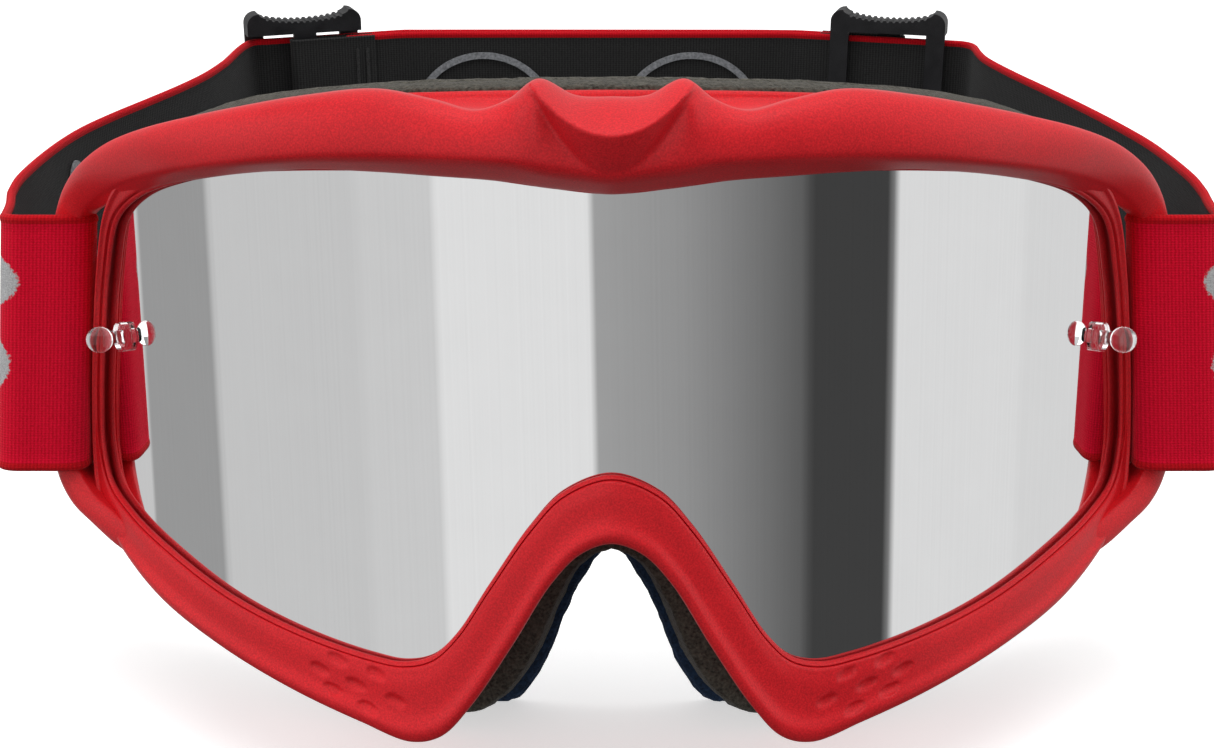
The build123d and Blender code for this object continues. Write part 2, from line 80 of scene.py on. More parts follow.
# Camera and floor, in metres, with angles in degrees.
CAMERA_PLACE = (0, -0.31049, 0.06362)
CAMERA_DIP = 12.4
FLOOR_SIZE = 30
FLOOR_GAP = 0.001
FLOOR_GLOW = 0.56
GLOW_RISES_FROM = 0.3
WHITE_FROM = 1.0


# ---- shader nodes ----
def add_node(tree, kind, inputs=(), **settings):
    """New shader node. Inputs are values or sockets by name or number; settings are the node's options."""
    node = tree.nodes.new("ShaderNode" + kind)
    for name, value in settings.items():
        setattr(node, name, value)
    for key, value in dict(inputs).items():
        if isinstance(value, bpy.types.NodeSocket):
            tree.links.new(value, node.inputs[key])
        else:
            node.inputs[key].default_value = value
    return node


# ---- camera, stage and light ----
def add_camera():
    """Camera in front and a little above, looking slightly down, with plain colour response."""
    bpy.context.scene.view_settings.view_transform = "Standard"
    data = bpy.data.cameras.new("camera")
    data.lens = 56.34
    data.sensor_width = 36
    data.shift_x = -0.0037
    data.clip_start = 0.01
    camera = bpy.data.objects.new("camera", data)
    bpy.context.scene.collection.objects.link(camera)
    camera.location = CAMERA_PLACE
    camera.rotation_euler = (math.radians(90 - CAMERA_DIP), 0, 0)
    bpy.context.scene.camera = camera


def add_floor():
    """Pale floor just below, turning white further out. The mirror lens doesn't see it."""
    bpy.ops.mesh.primitive_plane_add(size=FLOOR_SIZE, location=(0, 0, CAD_BOX[0].z - FLOOR_GAP))
    floor = bpy.context.object
    floor.name = "floor"
    paint = bpy.data.materials.new("floor_paint")
    paint.use_nodes = True
    tree = paint.node_tree
    place = add_node(tree, "NewGeometry")
    away = add_node(tree, "VectorMath", {0: place.outputs["Position"]}, operation="LENGTH")
    glow = add_node(tree, "MapRange", {
        "Value": away.outputs["Value"], "From Min": GLOW_RISES_FROM, "From Max": WHITE_FROM,
        "To Min": FLOOR_GLOW, "To Max": 1.0})
    shader = tree.nodes["Principled BSDF"]
    shader.inputs["Base Color"].default_value = (0.86, 0.86, 0.86, 1)
    shader.inputs["Roughness"].default_value = 0.8
    shader.inputs["Emission Color"].default_value = (1, 1, 1, 1)
    tree.links.new(glow.outputs["Result"], shader.inputs["Emission Strength"])
    floor.data.materials.append(paint)
    floor.visible_glossy = False
    floor.visible_diffuse = False


def add_area(name, place, size, power):
    """Soft rectangular lamp that points at the middle of the goggles, in metres and watts."""
    data = bpy.data.lights.new(name, "AREA")
    data.shape = "RECTANGLE"
    data.size, data.size_y = size
    data.energy = power
    lamp = bpy.data.objects.new(name, data)
    lamp.location = place
    lamp.rotation_euler = (-Vector(place)).to_track_quat("-Z", "Y").to_euler()
    lamp.visible_glossy = False
    bpy.context.scene.collection.objects.link(lamp)


def add_lights():
    """Broad top light, a gentle front fill and two side lights."""
    add_area("top", (0, -0.15, 0.9), (0.9, 0.7), 5.6)
    add_area("front", (-0.35, -0.9, 0.25), (0.8, 0.6), 1.6)
    add_area("left", (-0.8, -0.1, 0.3), (0.5, 0.6), 1.8)
    add_area("right", (0.8, -0.1, 0.3), (0.5, 0.6), 1.5)


# Upright studio panels seen in shiny surfaces, clockwise: where each starts in degrees of azimuth, the
# brightness just before it (None where the last panel fades into it) and the brightness from there on.
PANELS = [
    (-180, None, 0.6), (-113, 0.6, 0.34), (-88.8, 0.34, 0.60), (-52, 0.60, 0.64), (-36, 0.64, 0.80),
    (-5, 0.80, 0.37), (12, None, 0.31), (30, None, 0.17), (37.9, 0.11, 0.052), (56.5, 0.052, 0.76),
    (90, 0.76, 0.72), (150, 0.72, 0.6),
]
PANEL_EDGE = 0.0012     # half the soft edge between two panels, as a share of the full turn
PANEL_TILT = 0.12       # radians of azimuth gained from level to straight up


def grey(level):
    return (level, level, level, 1)


def panel_turn(tree, direction):
    """Azimuth of a direction in radians from straight ahead, tilted a little with height."""
    ahead = add_node(tree, "Math", {0: direction.outputs["Y"], 1: -1}, operation="MULTIPLY")
    turn = add_node(tree, "Math", {0: direction.outputs["X"], 1: ahead.outputs[0]}, operation="ARCTAN2")
    tilted = add_node(tree, "Math", {0: direction.outputs["Z"], 1: PANEL_TILT, 2: turn.outputs[0]},
                      operation="MULTIPLY_ADD")
    return tilted.outputs[0]


def panel_brightness(tree, turn):
    """Brightness of the panel at an azimuth, with soft edges between the panels."""
    share = add_node(tree, "MapRange", {"Value": turn, "From Min": -math.pi, "From Max": math.pi})
    ramp = add_node(tree, "ValToRGB", {"Fac": share.outputs["Result"]})
    stops = ramp.color_ramp.elements
    stops.remove(stops[1])
    stops[0].color = grey(PANELS[0][2])
    for azimuth, before, after in PANELS[1:]:
        spot = (azimuth + 180) / 360
        if before is None:
            stops.new(spot).color = grey(after)
            continue
        stops.new(spot - PANEL_EDGE).color = grey(before)
        stops.new(spot + PANEL_EDGE).color = grey(after)
    return ramp.outputs["Color"]


def panel_light(tree, direction):
    """What shiny surfaces see: faintly streaked panels over a dark ground."""
    turn = panel_turn(tree, direction)
    streaks = add_node(tree, "TexNoise", {"W": turn, "Scale": 110, "Detail": 3}, noise_dimensions="1D")
    streak = add_node(tree, "MapRange", {"Value": streaks.outputs["Fac"], "To Min": 0.95, "To Max": 1.05})
    panels = add_node(tree, "Mix", {0: 1.0, 6: panel_brightness(tree, turn), 7: streak.outputs["Result"]},
                      data_type="RGBA", blend_type="MULTIPLY")
    ground = add_node(tree, "MapRange", {
        "Value": direction.outputs["Z"], "From Min": -0.62, "From Max": -0.44, "To Min": 0.1})
    light = add_node(tree, "Background", {"Color": panels.outputs[2], "Strength": ground.outputs["Result"]})
    return light.outputs[0]


def even_light(tree, direction):
    """What matt surfaces see: even light, brighter from above."""
    height = add_node(tree, "MapRange", {
        "Value": direction.outputs["Z"], "From Min": -0.5, "From Max": 0.9, "To Min": 0.55, "To Max": 1.25})
    level = add_node(tree, "CombineColor", {channel: height.outputs["Result"] for channel in range(3)})
    light = add_node(tree, "Background", {"Color": level.outputs[0], "Strength": 0.42})
    return light.outputs[0]


def add_world():
    """Panels for shiny surfaces, even light for matt ones, and white behind."""
    world = bpy.data.worlds.new("studio")
    bpy.context.scene.world = world
    world.use_nodes = True
    tree = world.node_tree
    tree.nodes.clear()
    where = add_node(tree, "TexCoord")
    direction = add_node(tree, "SeparateXYZ", {0: where.outputs["Generated"]})
    ray = add_node(tree, "LightPath")
    lighting = add_node(tree, "MixShader", {
        0: ray.outputs["Is Glossy Ray"], 1: even_light(tree, direction), 2: panel_light(tree, direction)})
    white = add_node(tree, "Background", {"Color": grey(1), "Strength": 1.0})
    seen = add_node(tree, "MixShader", {
        0: ray.outputs["Is Camera Ray"], 1: lighting.outputs[0], 2: white.outputs[0]})
    add_node(tree, "OutputWorld", {"Surface": seen.outputs[0]})


# ---- materials ----
class Surface:
    """A Principled material under construction, with short helpers for its procedural detail."""

    def __init__(self, name, roughness, **inputs):
        self.material = bpy.data.materials.new(name)
        self.material.use_nodes = True
        self.tree = self.material.node_tree
        self.shader = self.tree.nodes["Principled BSDF"]
        self.shader.inputs["Roughness"].default_value = roughness
        for key, value in inputs.items():
            self.shader.inputs[key.replace("_", " ")].default_value = value
        self.place = self.add("TexCoord")

    def add(self, kind, inputs=(), **settings):
        return add_node(self.tree, kind, inputs, **settings)

    def link(self, output, name):
        """Drive one of the shader's inputs."""
        self.tree.links.new(output, self.shader.inputs[name])

    def noise(self, scale, detail=4.0):
        """Noise of that many features per metre."""
        inputs = {"Vector": self.place.outputs["Object"], "Scale": scale, "Detail": detail}
        node = self.add("TexNoise", inputs)
        return node.outputs["Fac"]

    def cells(self, scale):
        """Distance to the nearest cell centre, for open foam."""
        node = self.add("TexVoronoi", {"Vector": self.place.outputs["Object"], "Scale": scale})
        return node.outputs["Distance"]

    def ribs(self, scale, direction, distortion):
        """Parallel ribs of the webbing, across its UV millimetres in one direction."""
        node = self.add("TexWave", {
            "Vector": self.place.outputs["UV"], "Scale": scale, "Distortion": distortion,
            "Detail Scale": 2.0}, bands_direction=direction)
        return node.outputs["Fac"]

    def oval(self, middle, reach):
        """Mask of an oval printed on the webbing, placed by its UV millimetres, with a fibrous edge."""
        moved = self.add("Mapping", {
            "Vector": self.place.outputs["UV"], "Scale": (1 / reach[0], 1 / reach[1], 0),
            "Location": (-middle[0] / reach[0], -middle[1] / reach[1], 0)})
        away = self.add("VectorMath", {0: moved.outputs["Vector"]}, operation="LENGTH")
        rough = self.math("MULTIPLY", self.noise(1800, 2), 0.16)
        return self.spread(self.math("ADD", away.outputs["Value"], rough), 1, 0, 1.05, 1.09)

    def math(self, operation, first, second):
        return self.add("Math", {0: first, 1: second}, operation=operation).outputs[0]

    def blend(self, first, share, second, other_share):
        """Weighted sum of two values."""
        one = self.math("MULTIPLY", first, share)
        other = self.math("MULTIPLY", second, other_share)
        return self.math("ADD", one, other)

    def spread(self, value, low, high, from_low=0.3, from_high=0.7):
        """Map a value onto another range."""
        node = self.add("MapRange", {
            "Value": value, "From Min": from_low, "From Max": from_high, "To Min": low, "To Max": high})
        return node.outputs["Result"]

    def ramp(self, value, dark, light, low=0.3, high=0.7):
        """Blend of two colours by a value."""
        node = self.add("ValToRGB", {"Fac": value})
        for stop, position, colour in zip(node.color_ramp.elements, (low, high), (dark, light)):
            stop.position = position
            stop.color = (*colour, 1)
        return node.outputs["Color"]

    def colours(self, *ramp, **limits):
        """Blend two colours by a value as the surface's colour."""
        self.link(self.ramp(*ramp, **limits), "Base Color")

    def mixed(self, factor, first, second):
        """Mix two colour outputs by a factor."""
        return self.add("Mix", {0: factor, 6: first, 7: second}, data_type="RGBA").outputs[2]

    def bump(self, height, distance, strength):
        """Raise the surface by height, up to distance millimetres."""
        node = self.add("Bump", {"Height": height, "Strength": strength, "Distance": distance * MM})
        self.link(node.outputs["Normal"], "Normal")


def frame_plastic():
    """Satin red rubbery plastic with a fine spark texture, unevenly worn to a shine."""
    s = Surface("frame_plastic", 0.42, Specular_IOR_Level=0.4, Sheen_Weight=0.04, Sheen_Roughness=0.4,
                Sheen_Tint=(1.0, 0.55, 0.55, 1))
    grain = s.noise(3800, 3)
    cloud = s.noise(55, 2)
    s.colours(s.blend(grain, 0.75, cloud, 0.25), (0.54, 0.005, 0.011), (0.80, 0.012, 0.020), 0.36, 0.64)
    s.link(s.spread(cloud, 0.36, 0.48), "Roughness")
    s.bump(grain, 0.035, 0.55)
    return s.material


def lens_mirror():
    """Silver vacuum coating: nearly flawless, with a trace of haze."""
    s = Surface("lens_mirror", 0.03, Metallic=1.0)
    haze = s.noise(140, 3)
    s.colours(haze, (0.885, 0.887, 0.89), (0.90, 0.902, 0.905))
    s.link(s.spread(haze, 0.015, 0.035), "Roughness")
    return s.material


def lens_inside():
    """Smoke-grey inner face of the lens."""
    s = Surface("lens_inside", 0.12)
    s.colours(s.noise(220, 2), (0.02, 0.02, 0.022), (0.035, 0.035, 0.04))
    return s.material


def clear_plastic():
    """Clear moulded plastic with faint flow marks."""
    s = Surface("clear_plastic", 0.04, IOR=1.49, Transmission_Weight=1.0)
    flow = s.noise(900, 2)
    s.colours(flow, (0.93, 0.93, 0.94), (1.0, 1.0, 1.0))
    s.link(s.spread(flow, 0.02, 0.07), "Roughness")
    s.bump(flow, 0.02, 0.3)
    return s.material


def foam(name, dark, light, pores_per_metre=950):
    """Open-cell foam: dark pores between paler struts."""
    s = Surface(name, 0.95, Sheen_Weight=0.1)
    pores = s.cells(pores_per_metre * 1.3)
    fuzz = s.noise(pores_per_metre * 2.4, 5)
    both = s.blend(pores, 0.3, fuzz, 0.75)
    s.colours(both, dark, light, 0.32, 0.75)
    s.bump(both, 0.5, 0.9)
    return s.material


def fleece():
    """Navy brushed fleece with short tangled pile."""
    s = Surface("fleece", 1.0, Sheen_Weight=0.12, Sheen_Roughness=0.6, Sheen_Tint=(0.35, 0.5, 0.9, 1))
    pile = s.blend(s.noise(1700, 8), 0.7, s.noise(420, 3), 0.3)
    s.colours(pile, (0.003, 0.009, 0.022), (0.015, 0.040, 0.092), 0.34, 0.66)
    s.bump(pile, 0.6, 1.0)
    return s.material


def knit(name, dark, light, ribs_per_mm=1.6, emblem=False):
    """Knitted elastic: ribs along the webbing, crossed by finer courses, with loose fibres."""
    s = Surface(name, 0.88, Sheen_Weight=0.06, Sheen_Roughness=0.45, Specular_IOR_Level=0.2)
    wales = s.ribs(ribs_per_mm * 0.3142, "X", 0.5)
    courses = s.ribs(ribs_per_mm * 0.45, "Y", 1.2)
    fibres = s.noise(4200, 6)
    weave = s.math("ADD", s.blend(wales, 0.24, courses, 0.16), s.math("MULTIPLY", fibres, 0.55))
    cloth = s.ramp(weave, dark, light, 0.22, 0.85)
    if emblem:
        patch = s.math("MAXIMUM", s.oval((54.0, 10.7), (13, 5.8)), s.oval((55.2, -3.5), (13, 6.8)))
        cloth = s.mixed(patch, cloth, s.ramp(fibres, (0.36, 0.36, 0.37), (0.62, 0.62, 0.62)))
    s.link(cloth, "Base Color")
    s.bump(weave, 0.22, 0.85)
    return s.material


def buckle_plastic():
    """Black moulded plastic with a fine texture and rubbed, paler high spots."""
    s = Surface("buckle_plastic", 0.55)
    grain = s.noise(5200, 3)
    rub = s.noise(260, 4)
    s.colours(s.blend(grain, 0.6, rub, 0.4), (0.004, 0.004, 0.005), (0.022, 0.022, 0.024))
    s.link(s.spread(rub, 0.42, 0.62), "Roughness")
    s.bump(grain, 0.05, 0.5)
    return s.material


def silicone():
    """Raised grey silicone print with a soft, slightly uneven skin."""
    s = Surface("silicone", 0.5)
    skin = s.noise(1500, 4)
    s.colours(skin, (0.14, 0.145, 0.155), (0.34, 0.35, 0.37))
    s.bump(skin, 0.12, 0.7)
    return s.material


def thread(name, dark, light):
    """Twisted polyester sewing thread."""
    s = Surface(name, 0.7)
    twist = s.noise(3600, 3)
    s.colours(twist, dark, light)
    s.bump(twist, 0.1, 0.8)
    return s.material


# ---- curve and mesh helpers ----
def fade(value, start, length):
    """0 up to start, rising evenly to 1 over length."""
    return np.clip((value - start) / length, 0, 1)


def smooth_through(points, steps, closed=False):
    """Centripetal Catmull-Rom curve through points; steps is one count or one per span."""
    points = np.asarray(points, float)
    count = len(points)
    spans = count if closed else count - 1
    steps = [steps] * spans if isinstance(steps, int) else steps
    if closed:
        ring = points[np.arange(-1, count + 2) % count]
    else:
        ring = np.concatenate([2 * points[:1] - points[1:2], points, 2 * points[-1:] - points[-2:-1]])
    gap = np.sqrt(np.maximum(np.linalg.norm(np.diff(ring, axis=0), axis=1), 1e-6))
    slope = np.diff(ring, axis=0) / gap[:, None]
    tangent = (slope[:-1] * gap[1:, None] + slope[1:] * gap[:-1, None]) / (gap[:-1] + gap[1:])[:, None]
    rows = []
    for span in range(spans):
        here, there = ring[span + 1], ring[span + 2]
        leave, arrive = tangent[span] * gap[span + 1], tangent[span + 1] * gap[span + 1]
        t = (np.arange(steps[span]) / steps[span])[:, None]
        rows.append(here * (2 * t ** 3 - 3 * t ** 2 + 1) + leave * (t ** 3 - 2 * t ** 2 + t)
                    + there * (3 * t ** 2 - 2 * t ** 3) + arrive * (t ** 3 - t ** 2))
    if not closed:
        rows.append(points[-1:])
    return np.concatenate(rows)


def lengths_along(points):
    """Distance from the first point to each point along a line of points."""
    steps = np.linalg.norm(np.diff(points, axis=0), axis=1)
    return np.concatenate([[0], np.cumsum(steps)])


def smooth_rows(rows, steps, closed=True):
    """Smooth a stack of matching rows of points from row to row."""
    flat = smooth_through(np.asarray(rows).reshape(len(rows), -1), steps, closed=closed)
    return flat.reshape(len(flat), -1, 3)


def whole_ring(half, steps):
    """Full left-right outline from its right half, smoothed, starting at the top centre."""
    half = np.asarray(half, float)
    other = half[-2:0:-1] * [-1, 1]
    both = np.concatenate([half, other])
    steps = list(steps) + list(steps)[::-1]
    return smooth_through(both, steps, closed=True)


def grid_piece(name, grid, material, wrap_rows=True, wrap_columns=True, body="goggles"):
    """Mesh from a grid of millimetre points, rows by columns, closed as asked."""
    rows, columns = grid.shape[:2]
    mesh = bpy.data.meshes.new(name)
    last_row = rows if wrap_rows else rows - 1
    last_column = columns if wrap_columns else columns - 1
    row, column = np.meshgrid(np.arange(last_row), np.arange(last_column), indexing="ij")
    next_row = (row + 1) % rows
    next_column = (column + 1) % columns
    corners = [row * columns + column, row * columns + next_column,
               next_row * columns + next_column, next_row * columns + column]
    faces = np.stack(corners, -1).reshape(-1, 4)
    mesh.from_pydata((grid.reshape(-1, 3) * MM).tolist(), [], faces.tolist())
    mesh.materials.append(material)
    mesh.polygons.foreach_set("use_smooth", [True] * len(mesh.polygons))
    mesh.update()
    piece = bpy.data.objects.new(name, mesh)
    bpy.context.scene.collection.objects.link(piece)
    if body:
        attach(piece, body)
    return piece


def facing_out(piece):
    """Make the faces of a closed mesh point outwards."""
    shape = bmesh.new()
    shape.from_mesh(piece.data)
    bmesh.ops.recalc_face_normals(shape, faces=shape.faces)
    shape.to_mesh(piece.data)
    shape.free()


def lens_y(x, radius):
    """Depth of an upright cylinder about the lens axis, held at its side beyond its radius."""
    x = np.clip(np.abs(x), 0, np.asarray(radius) - 0.01)
    return LENS_AXIS_Y - np.sqrt(np.asarray(radius) ** 2 - x ** 2)


def face_y(x, back):
    """Depth of the face curve, back millimetres behind the flange's front."""
    return FACE_FRONT_Y + back + FACE_RADIUS - np.sqrt(FACE_RADIUS ** 2 - np.asarray(x) ** 2)


# Matching half outlines, (x, z) from the top centre down the right side to the bottom centre.
APERTURE = [(0, 31.0), (9.6, 31.9), (17, 32.8), (26, 33.4), (35, 33.6), (54, 32.3), (66, 29.8),
            (74.5, 26.4), (79.6, 21.8), (82.6, 12.5), (84.8, 1), (86.3, -10), (86.6, -18),
            (84.9, -23.6), (80, -26.8),
            (71, -30.6), (60, -34.8), (48, -38), (37, -40), (31.5, -40.4), (27, -39), (23.2, -35.2),
            (18, -26.9), (12, -17.8), (7, -12.4), (0, -9.8)]
RIM = [(0, 38), (9.6, 38.5), (17, 39.5), (26, 40), (35, 40), (55, 38.5), (67.5, 35.5), (77, 30.5),
       (82.2, 23.5), (85.0, 13.5), (87.0, 1.8), (88.6, -10), (89.3, -20), (88.3, -27.6),
       (83.5, -32.4), (74.5, -38.2),
       (62.5, -43.0), (49.5, -47.2), (38, -50.4), (30.3, -52.4), (25.6, -51.0), (21, -45.8), (14.7, -36),
       (8.7, -26), (4.4, -21.4), (0, -19.8)]
FLANGE = [(0, 43.6), (10, 43.5), (17, 43.4), (26, 43.1), (35, 42.6), (55, 40.4), (67.5, 37.4), (79, 32),
          (84.6, 24.5), (87.2, 13), (88, 1), (87.7, -10), (86.5, -20), (83.5, -28.5), (79, -35), (70, -42.2),
          (58, -48.5), (46, -53.3), (37, -56.6), (31, -58), (25, -56.8), (20, -52), (13.5, -41),
          (8.5, -33.2),
          (5, -29.6), (0, -27.5)]
FOAM = [(0, 44.4), (10, 44.3), (17, 44.1), (26, 43.8), (35, 43.3), (55, 41), (67.5, 38), (79, 32.6),
        (85, 24.5), (87.7, 13), (88.5, 1), (88.2, -10), (87, -20.5), (84, -29.5), (79.5, -36),
        (70.5, -43.5), (58, -50.2),
        (46, -55.6), (36, -59.6), (28.5, -62), (22, -62), (17, -58.2), (12.3, -49.3), (8.7, -40.5), (5, -34),
        (0, -31)]
PORT = [(0, 29.5), (10, 30), (17, 30.6), (28, 31.5), (36, 31.4), (52, 30), (62, 27.4), (69, 23.5),
        (74, 18.5), (76.8, 11), (78, 1), (77.6, -9), (76.2, -17), (73, -24), (68, -28), (61, -31.4),
        (53, -34.2), (45, -36.3), (37, -37.5), (31.5, -37.6), (27.5, -35.5), (24, -30.7), (19, -22.8),
        (13.5, -15), (8, -9.8), (0, -7.5)]

# Mesh steps in each span of the frame's outlines, finer where the cheek dimples are.
RING_STEPS = [10] * 15 + [22, 34, 34, 18] + [10] * 6


# ---- frame ----
DIMPLES = [(41.7, -41.1), (44.6, -42.9), (35.6, -42.4), (38.8, -44.4), (42.4, -45.7), (32.5, -46.0),
           (36.9, -47.6)]
DIMPLE_SLOPE = math.radians(20)
DIMPLE_REACH = (1.65, 0.8)
DIMPLE_DEPTH = 0.6

# Distances of the rim's face from the lens axis: groove where the rim is wide and narrow, foot of the face.
GROOVE_FLOOR = 100.6
SHALLOW_FLOOR = 101.3
FACE_FOOT = 101.6


def dimple_depth(x, z):
    """Small oval dents in each cheek, sloping down towards the nose."""
    depth = np.zeros_like(x)
    for middle_x, middle_z in DIMPLES:
        right, up = np.abs(x) - middle_x, z - middle_z
        along = right * math.cos(DIMPLE_SLOPE) + up * math.sin(DIMPLE_SLOPE)
        across = -right * math.sin(DIMPLE_SLOPE) + up * math.cos(DIMPLE_SLOPE)
        reach = (along / DIMPLE_REACH[0]) ** 2 + (across / DIMPLE_REACH[1]) ** 2
        depth += DIMPLE_DEPTH * np.clip(1 - reach, 0, 1) ** 0.4
    return depth


def on_face(outline, back):
    """An outline laid on the face curve, back millimetres behind the flange's front."""
    return np.column_stack([outline[:, 0], face_y(outline[:, 0], back), outline[:, 1]])


def rim_front(lip, out, width, thin):
    """Sections of the rim from behind the lip, over its groove and crest, to the outer wall."""
    crest = 102.6 + 1.3 * np.clip((width - 3) / 8, 0, 1)
    groove = np.interp(width, [3.5, 7], [SHALLOW_FLOOR, GROOVE_FLOOR])

    def on_lens(distance, radius):
        spot = lip + out * np.asarray(distance).reshape(-1, 1)
        return np.column_stack([spot[:, 0], lens_y(spot[:, 0], radius), spot[:, 1]])

    def on_front(share, radius):
        """Spot on the rim's front face: share 0 is beside the lip's groove, 1 is near the crest."""
        return on_lens(1.8 * thin * (1 - share) + 0.62 * width * share, radius)

    front = [
        on_lens(1.3 * thin, 100.25), on_lens(0.25 * thin, 100.25), on_lens(0 * thin, 100.45),
        on_lens(0.12 * thin, 100.95), on_lens(1.0 * thin, 101.4), on_lens(1.22 * thin, 101.4),
        on_lens(1.3 * thin, 101.1), on_lens(1.33 * thin, groove), on_lens(1.58 * thin, groove),
        on_lens(1.62 * thin, 101.3), on_front(0.0, 101.65), on_front(0.08, 101.8),
        on_front(0.3, 0.7 * FACE_FOOT + 0.3 * crest), on_front(1.0, 0.45 * FACE_FOOT + 0.55 * crest),
        on_lens(0.8 * width, crest),
        on_lens(0.92 * width, crest - 0.25), on_lens(0.985 * width, crest - 1.1),
        on_lens(width, crest - 2.4), on_lens(0.97 * width, crest - 5),
    ]
    inside = [
        on_lens(-0.2 * thin, 94.5), on_lens(0 * thin, 97.2), on_lens(0 * thin, 98.6),
        on_lens(1.2 * thin, 98.75), on_lens(1.35 * thin, 99.5),
    ]
    return front, inside


def rim_grid():
    """Moulded ring: lip over the lens, front face, outer wall, flange, inner wall."""
    lip, rim, flange, port = (whole_ring(half, RING_STEPS) for half in (APERTURE, RIM, FLANGE, PORT))
    width = np.linalg.norm(rim - lip, axis=1, keepdims=True)
    out = (rim - lip) / width
    width = width[:, 0]
    thin = np.interp(width, [2, 3, 6, 10], [0.55, 0.65, 0.5, 0.4])
    front, inside = rim_front(lip, out, width, thin)
    back = [
        0.55 * front[-1] + 0.45 * on_face(flange, -2.5),
        0.30 * front[-1] + 0.70 * on_face(0.5 * flange + 0.5 * rim, -4.0),
        on_face(0.9 * flange + 0.1 * port, -0.5), on_face(flange, 0), on_face(flange, 1.0),
        on_face(flange, 1.9), on_face(0.5 * flange + 0.5 * port, 2.0), on_face(port, 1.9),
        on_face(port, 1.0), on_face(port, 0.1), on_face(0.6 * port + 0.4 * lip, -2.0),
    ]
    loop = np.stack(front + back + inside)
    steps = [1, 1, 2, 3, 1, 1, 1, 1, 1, 1, 1, 3, 13, 10, 4, 3, 3, 3, 3]
    steps += [3, 3, 2, 2, 2, 3, 3, 2, 2, 3, 3, 2, 2, 1, 1, 1]
    return smooth_rows(loop, steps)


def make_rim(material):
    """The ring of the frame, with the cheek dimples pressed into it."""
    grid = rim_grid()
    x, y, z = grid[..., 0], grid[..., 1], grid[..., 2]
    cheek = (y < lens_y(x, 100.8)) & (z < -38) & (np.abs(x) < 46)
    grid[..., 1] += np.where(cheek, dimple_depth(x, z), 0)
    return grid_piece("frame_ring", grid, material, body=None)


# Stations of the brow and its outrigger, from the centre round to the lower rim:
# top edge (x, z), lower front edge (x, z), underside edge (x, z), front depth, thickness.
BROW = [
    ((0, 44.7), (0, 34.0), (0, 31.0), -52.4, 9),
    ((5.0, 44.9), (4.7, 34.5), (4.7, 31.4), -52.3, 9),
    ((10.1, 47.2), (9.5, 35.2), (9.5, 31.9), -52.2, 9),
    ((14.2, 44.4), (13.7, 35.9), (13.7, 32.5), -51.6, 9),
    ((18.7, 42.9), (18.2, 36.2), (18.2, 32.9), -50.7, 9),
    ((25, 44.2), (25, 36.3), (25, 33.2), -49.0, 9),
    ((33, 45.4), (33, 36.2), (33, 33.5), -46.2, 9),
    ((44, 44.2), (43.6, 35.7), (43.6, 33.4), -41.8, 9),
    ((54, 42.3), (53, 34.6), (53, 32.4), -36.6, 9),
    ((63.2, 40.2), (61, 33.2), (61, 31.0), -30.4, 9),
    ((71.4, 38.0), (68, 31.6), (67.5, 29.5), -23.8, 9),
    ((78.6, 35.3), (74, 29.6), (73.2, 27.6), -16.6, 8.5),
    ((84.4, 31.9), (79.4, 27.4), (78.4, 25.8), -9.6, 8),
    ((88.8, 28.2), (83.8, 24.8), (82.8, 23.8), -3.2, 7),
    ((91.8, 23.9), (87.4, 21.6), (86.6, 21.3), 1.2, 6.2),
    ((93.6, 18.5), (89.4, 17.5), (88.8, 17.4), 3.2, 5.6),
    ((94.7, 8), (90.4, 8), (89.9, 8), 3.8, 5.2),
    ((95.5, -6), (91.1, -6), (90.6, -6), 3.8, 5.2),
    ((96.0, -17), (91.7, -17), (91.2, -17), 3.6, 5.2),
    ((95.2, -23.2), (91.0, -21.8), (90.5, -21.7), 2.8, 5.4),
    ((92.4, -27.6), (88.2, -25.2), (87.8, -25.0), 0.2, 6),
    ((88.0, -30.6), (84.6, -27.2), (84.2, -27.0), -3.0, 6.5),
    ((83.0, -33.4), (80.2, -29.6), (79.8, -29.4), -6.6, 6),
    ((77.0, -35.9), (75.4, -32.4), (75, -32.2), -9.6, 5),
]


def beak(x, z, top):
    """Forward push of the central ridge and its two horns, in millimetres."""
    ridge_z = 40.2 + 0.052 * x ** 2
    height = 4.4 * np.exp(-(np.abs(x) / 10.5) ** 4)
    above = np.clip(1 - (z - ridge_z) / np.maximum(top - ridge_z, 0.8), 0, 1)
    width = np.maximum(5.3 - 0.042 * x ** 2, 1.0)
    below = np.clip(1 - (ridge_z - z) / width, 0, 1)
    push = height * np.where(z > ridge_z, above, below)
    horn = 1.3 * np.exp(-((np.abs(x) - 10.6) / 2.2) ** 2)
    rise = np.clip((z - 36.5) / 7.5, 0, 1)
    return push + horn * rise ** 1.5


def brow_section(top, front, under, depth, thick):
    """Closed section of the brow at one station: underside, rounded front, top edge, rear."""
    top, front, under = (np.asarray(point, float) for point in (top, front, under))
    rise = top - front
    lip_y = max(lens_y(under[0], 100.9), depth + 1.0)
    rear = min(depth + thick, 9.0)
    scale = min(np.linalg.norm(rise) / 9.0, 1.1)
    between = 0.5 * (under + front)
    shoulder = top - 0.06 * rise
    nape = front + 0.6 * rise
    section = [(under[0], lip_y, under[1]), (between[0], 0.5 * (lip_y + depth) + 0.1, between[1] - 0.15)]
    for share, back in ((0.0, 0.35), (0.09, -0.15), (0.35, -0.05), (0.62, 0.75), (0.84, 2.1), (0.96, 3.6)):
        spot = front + rise * share
        section.append((spot[0], depth + back * scale, spot[1]))
    section += [(top[0], depth + 5.0 * scale, top[1]), (shoulder[0], rear - 1.0, shoulder[1]),
                (nape[0], rear, nape[1]), (under[0], rear, under[1] + 0.2),
                (under[0], 0.5 * (rear + lip_y), under[1])]
    return section


